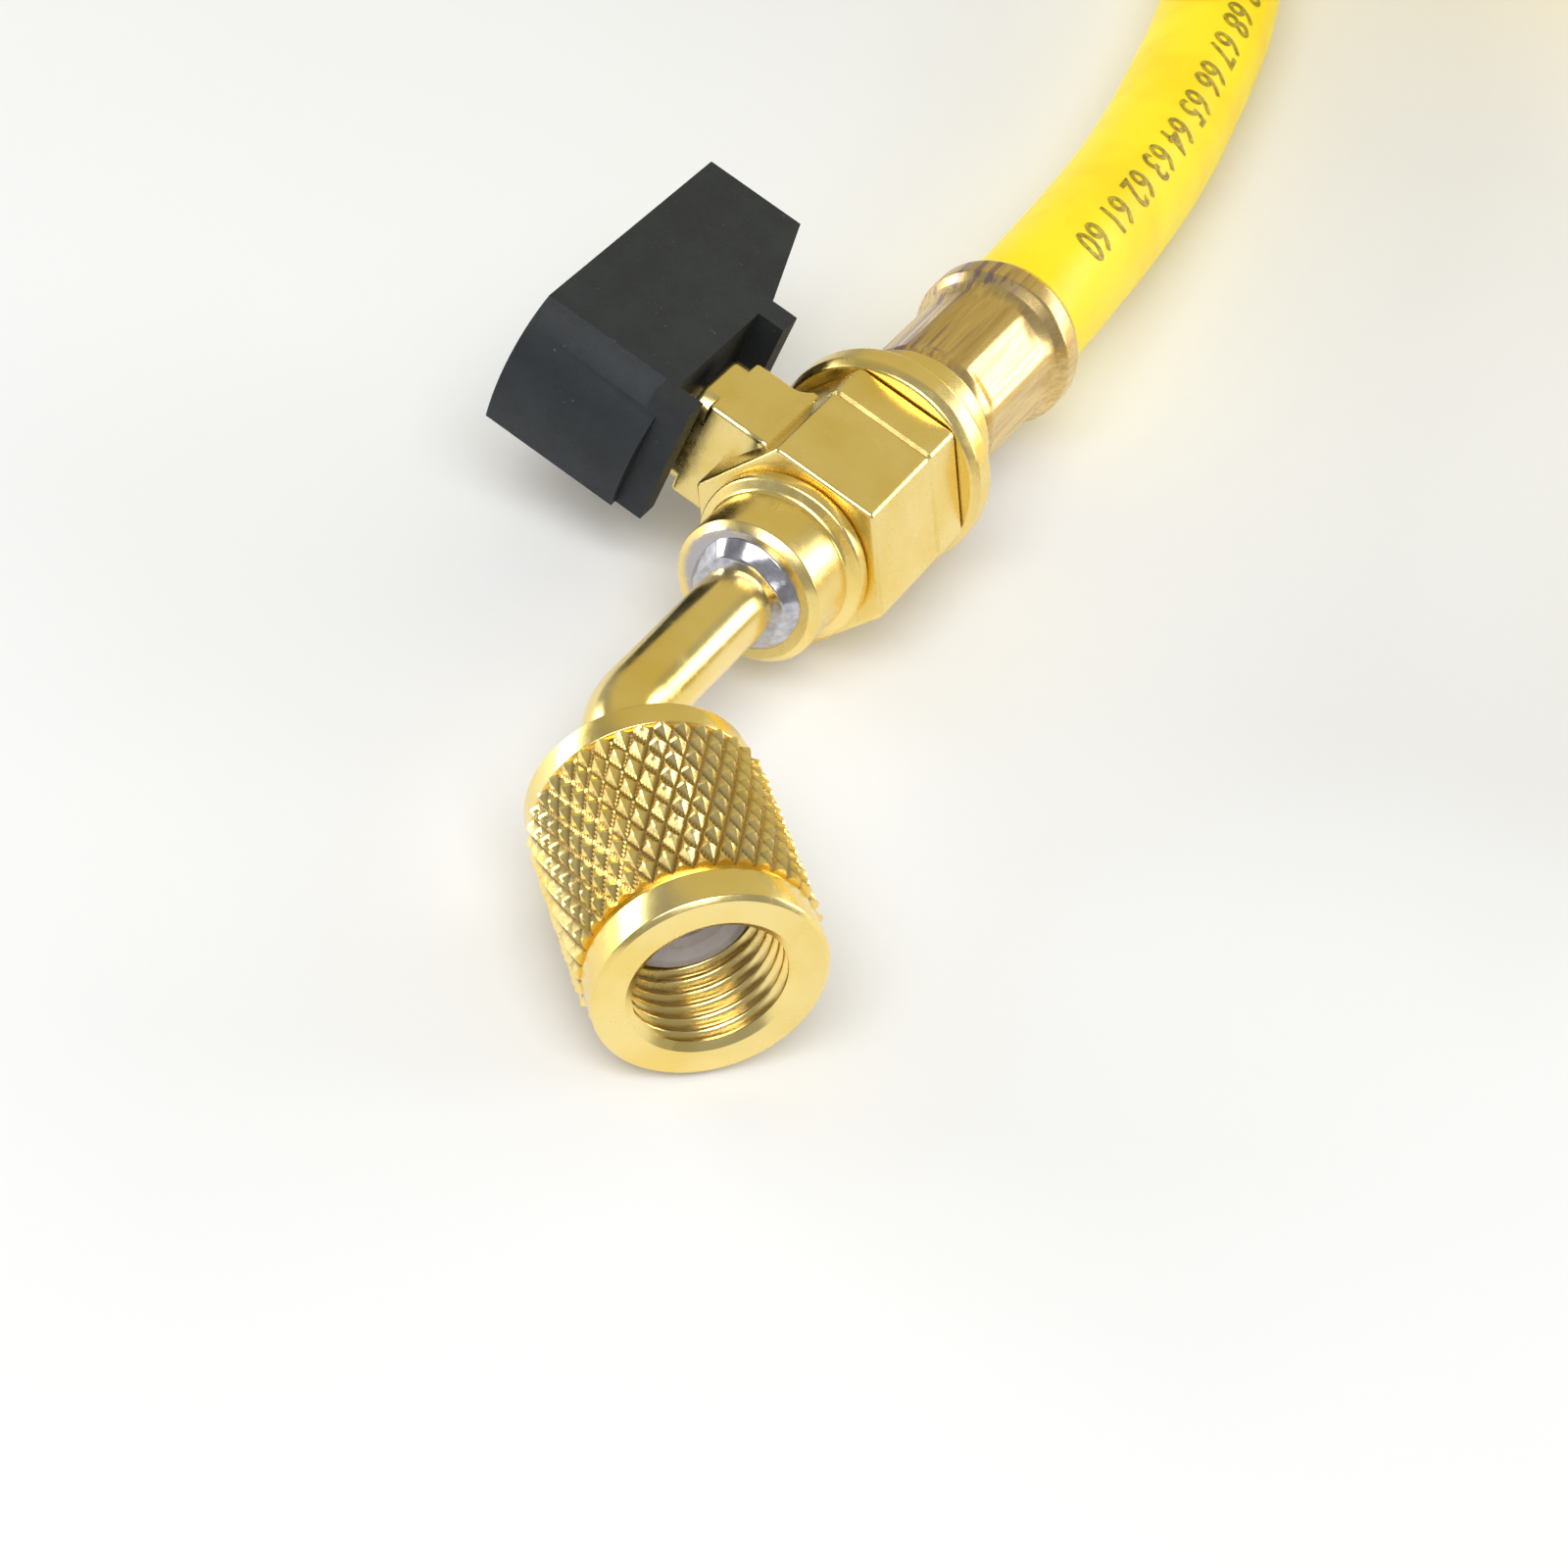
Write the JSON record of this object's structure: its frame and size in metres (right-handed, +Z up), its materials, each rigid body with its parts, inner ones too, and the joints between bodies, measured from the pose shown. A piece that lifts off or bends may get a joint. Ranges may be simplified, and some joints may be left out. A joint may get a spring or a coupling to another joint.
{
  "type": "refrigerant charging hose",
  "caption": "Flexible charging hose with knurled swivel nuts, crimped ferrules and a quarter-turn ball valve with a lever at its near end.",
  "frame": {"origin": "on the table, under the middle of the near head: nut, bent tube, valve, lever and ferrule", "axes": "+X along the valve's own axis from the bent tube towards the hose, +Z up from the table that the head lies on, +Y towards the lever"},
  "size_m": [0.3447, 0.135, 0.048],
  "materials": {
    "brass": "bright machined, lightly handled",
    "ferrule_brass": "duller, rolled and crimped",
    "solder": "soft silver solder, smeared",
    "ball_steel": "polished",
    "screw_steel": "zinc plated",
    "lever_plastic": "moulded, satin, scuffed on its edges",
    "seal_plastic": "milky grey, smooth",
    "hose_rubber": "smooth, slightly glossy, bright yellow"
  },
  "bodies": {
    "valve": {"valve_body": "brass", "bent_tube": "brass", "nut_seal": "seal_plastic", "solder_ring": "solder", "front_seat": "seal_plastic", "rear_seat": "seal_plastic", "tail_piece": "brass", "ferrule": "ferrule_brass", "hose_end_in_ferrule": "hose_rubber", "hose_tube": "hose_rubber", "hose_coil": "hose_rubber", "hose_tail": "hose_rubber", "far_ferrule": "ferrule_brass", "hose_end_in_far_ferrule": "hose_rubber", "far_fitting": "brass", "far_seal": "seal_plastic"},
    "lever_and_ball": {"lever": "lever_plastic", "valve_stem": "brass", "ball": "ball_steel", "lever_screw": "screw_steel"},
    "near_nut": {"swivel_nut": "brass"},
    "far_end_nut": {"far_nut": "brass"}
  },
  "joints": [
    {"name": "lever_turn", "type": "hinge", "parent": "valve", "child": "lever_and_ball", "pos_m": [0.0136, -0.00116, 0.00955], "axis": [0, -0.9659, -0.2588], "range_deg": [0, 90]},
    {"name": "near_nut_spin", "type": "hinge", "parent": "valve", "child": "near_nut", "pos_m": [-0.04102, -0.02112, 0.00915], "axis": [-0.7071, -0.707, -0.0142], "continuous": true},
    {"name": "far_nut_spin", "type": "hinge", "parent": "valve", "child": "far_end_nut", "pos_m": [0.04061, -0.07759, 0.00915], "axis": [-0.9986, 0.0523, 0], "continuous": true}
  ]
}
